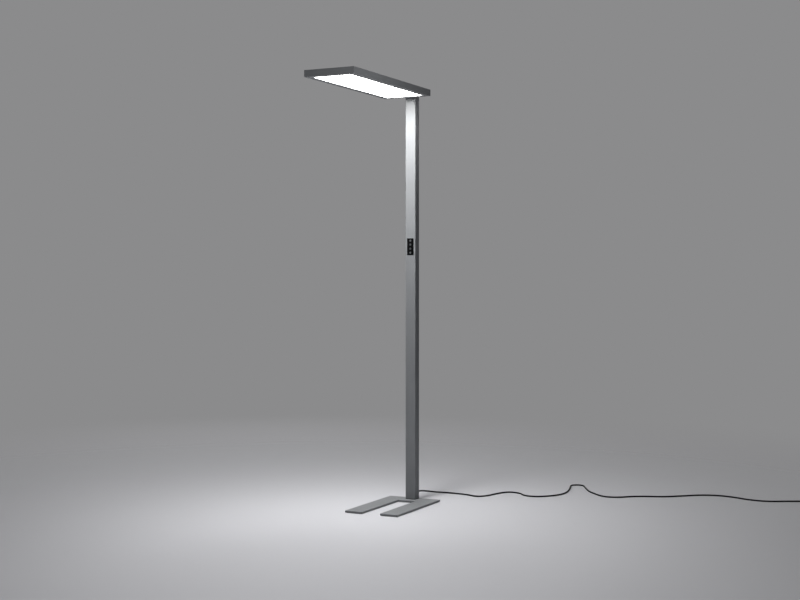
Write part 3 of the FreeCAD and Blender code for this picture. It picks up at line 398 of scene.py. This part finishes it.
# Nickel plated brass: warm white metal, polished lengthwise by use.
nickel_plate = finish("nickel_plated_brass", "#D6D3C8", "#BFBCB0", 0.6, 0.003, 0.24, 0.06,
                      stretch=(1, 0.08, 1), Metallic=1.0)
# Clear acrylic: polished and see-through.
clear_acrylic = finish("clear_acrylic", "#F2F5F6", "#EAEFF1", 3.0, 0.001, 0.06, 0.02,
                       Transmission_Weight=0.9, IOR=1.49)
# Opal acrylic, lit from its edges: a matt milky sheet that glows evenly.
DIFFUSER_GLOW = 13.0
opal_acrylic = finish("lit_opal_acrylic", "#F7F8F8", "#F2F3F3", 1.5, 0.002, 0.35, 0.04, IOR=1.49,
                      Emission_Color=srgb("#FFFEFB"), Emission_Strength=DIFFUSER_GLOW)

node_finish = {
    "base_mat": black_rubber, "base_plate": powder_coat, "base_screws": zinc_plate,
    "foot_gasket": black_rubber, "foot_block": milled_aluminium, "foot_side_screws": black_oxide,
    "column_profile": anodised["z"], "column_cap": anodised["x"], "cap_screws": zinc_plate,
    "cord_relief": black_rubber, "inner_cord": cord_sheath, "cord_clamp": black_abs,
    "cord_clamp_screws": zinc_plate, "terminal_bracket": zinc_plate, "terminal_bracket_screws": zinc_plate,
    "terminal_block": beige_nylon, "supply_lead": white_sheath, "led_driver": white_abs,
    "driver_screws": black_oxide, "led_lead": white_sheath, "control_lead": white_sheath,
    "control_bezel": black_abs, "control_housing": black_abs, "control_board": green_mask,
    "key_switches": black_abs, "control_screws": zinc_plate,
    "key_on_off": key_abs, "key_brighter": key_abs, "key_dimmer": key_abs, "key_sensor": key_abs,
    "neck_block": milled_aluminium, "neck_block_screws": black_oxide, "neck_arm": cover_coat,
    "arm_column_screws": black_oxide, "arm_head_screws": black_oxide, "neck_sleeve": anodised["y"],
    "head_rail_front": anodised["x"], "head_rail_rear": anodised["x"],
    "head_rail_left": anodised["y"], "head_rail_right": anodised["y"],
    "corner_brackets": milled_aluminium, "corner_screws": zinc_plate, "top_cover": cover_coat,
    "cover_screws": black_oxide, "diffuser": opal_acrylic, "light_guide": clear_acrylic,
    "reflector_sheet": white_foil, "back_plate": milled_aluminium, "led_boards": white_mask,
    "leds": phosphor, "mount_plate": milled_aluminium, "mount_plate_screws": zinc_plate,
    "head_connector": white_abs, "board_leads": white_sheath, "cord": cord_sheath,
    "plug_boot": black_rubber, "plug_body": black_rubber, "plug_pins": nickel_plate,
    "plug_earth_clips": nickel_plate,
}


def set_material(piece, material):
    piece.data.materials.clear()
    piece.data.materials.append(material)


for name, material in node_finish.items():
    set_material(nodes[name], material)
set_material(cord, cord_sheath)
set_material(plug_body, black_rubber)
set_material(plug_boot, black_rubber)
for mark in marks:
    set_material(mark, mark_ink)


# ---------------------------------------------------------------- floor and light
BACKDROP = "#8B8B8C"
ROOM_SHADE = "#2C2D2E"
FLOOR = "#CDCDD1"
FLOOR_RADIUS = 9.0
FLOOR_CENTRE = (0.0, -0.9, 0.0)
# The floor's paint starts to fade at the first radius and is gone at the second.
FLOOR_PLAIN_RADIUS = 0.2
FLOOR_FADE_RADIUS = 5.0


def add_floor():
    """A pale round floor whose rim fades into the backdrop's grey."""
    mesh = bpy.data.meshes.new("floor")
    shape = bmesh.new()
    bmesh.ops.create_circle(shape, cap_ends=True, radius=FLOOR_RADIUS, segments=96)
    shape.to_mesh(mesh)
    shape.free()
    floor = bpy.data.objects.new("floor", mesh)
    scene.collection.objects.link(floor)
    floor.location = FLOOR_CENTRE
    material = bpy.data.materials.new("matt_floor_paint")
    material.use_nodes = True
    tree = material.node_tree
    tree.nodes.clear()
    place = add(tree, "TexCoord").outputs["Object"]
    radius = add(tree, "VectorMath", {"operation": "LENGTH"}, i0=place).outputs["Value"]
    fade = add(tree, "MapRange", {"interpolation_type": "SMOOTHSTEP"}, Value=radius,
               From_Min=FLOOR_PLAIN_RADIUS, From_Max=FLOOR_FADE_RADIUS, To_Min=0.0, To_Max=1.0)
    paint = add(tree, "BsdfDiffuse", Color=srgb(FLOOR))
    clear = add(tree, "BsdfTransparent")
    mix = add(tree, "MixShader", Fac=fade.outputs["Result"])
    tree.links.new(paint.outputs["BSDF"], mix.inputs[1])
    tree.links.new(clear.outputs["BSDF"], mix.inputs[2])
    output = add(tree, "OutputMaterial")
    tree.links.new(mix.outputs["Shader"], output.inputs["Surface"])
    set_material(floor, material)


def add_backdrop():
    """The eye and the reflections see the backdrop's grey; the surfaces are lit by a dimmer room."""
    world = bpy.data.worlds.new("studio")
    scene.world = world
    world.use_nodes = True
    tree = world.node_tree
    tree.nodes.clear()
    path = add(tree, "LightPath")
    seen = add(tree, "Math", {"operation": "MAXIMUM"}, i0=path.outputs["Is Camera Ray"],
               i1=path.outputs["Is Glossy Ray"])
    seen = add(tree, "Math", {"operation": "MAXIMUM"}, i0=seen.outputs["Value"],
               i1=path.outputs["Is Transmission Ray"])
    grey = add(tree, "Background", Color=srgb(BACKDROP), Strength=1.0)
    shade = add(tree, "Background", Color=srgb(ROOM_SHADE), Strength=1.0)
    mix = add(tree, "MixShader", Fac=seen.outputs["Value"])
    tree.links.new(shade.outputs["Background"], mix.inputs[1])
    tree.links.new(grey.outputs["Background"], mix.inputs[2])
    output = add(tree, "OutputWorld")
    tree.links.new(mix.outputs["Shader"], output.inputs["Surface"])


def add_lamp(name, place, target, size, power, shape="DISK", spread=180, in_gloss=True):
    """An area lamp that shines from its place to the target; metres, watts and degrees."""
    data = bpy.data.lights.new(name, "AREA")
    data.shape = shape
    data.size, data.size_y = size
    data.energy = power
    data.spread = math.radians(spread)
    lamp = bpy.data.objects.new(name, data)
    lamp.location = place
    lamp.rotation_euler = (Vector(target) - Vector(place)).to_track_quat("-Z", "Y").to_euler()
    lamp.visible_camera = False
    lamp.visible_glossy = in_gloss
    scene.collection.objects.link(lamp)


add_floor()
add_backdrop()
# Two softboxes overhead light the floor, one from behind lifts the back of the column, and a small one
# from low on the right lifts the sides of the head.
add_lamp("overhead_softbox", (-0.6, 0.5, 5.0), (-0.6, 0.5, 0.0), (2.2, 2.2), 89.0)
add_lamp("front_softbox", (0.9, -2.4, 4.2), (0.9, -2.4, 0.0), (1.2, 1.2), 8.0, spread=60)
add_lamp("rear_softbox", (-3.2, 3.8, 1.9), (0.0, 0.0, 1.0), (2.4, 2.4), 75.0, in_gloss=False)
add_lamp("head_fill", (2.2, -2.3, 0.66), (0.0, -0.62, 1.93), (0.5, 0.5), 1.2, spread=28, in_gloss=False)

# The light panel's own glow: it starts just under the diffuser, as large as what shows of it, and the
# low-glare sheet keeps it from spreading sideways.
GLOW_GAP = 3 * MM
GLOW_SIZE = (184 * MM, 704 * MM)
glow_low, glow_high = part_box("diffuser")
glow_x, glow_y = (glow_low.x + glow_high.x) / 2, (glow_low.y + glow_high.y) / 2
add_lamp("panel_glow", (glow_x, glow_y, glow_low.z - GLOW_GAP), (glow_x, glow_y, 0.0), GLOW_SIZE, 8.0,
         shape="RECTANGLE", spread=108)

scene.view_settings.view_transform = "Standard"

bpy.context.view_layer.update()
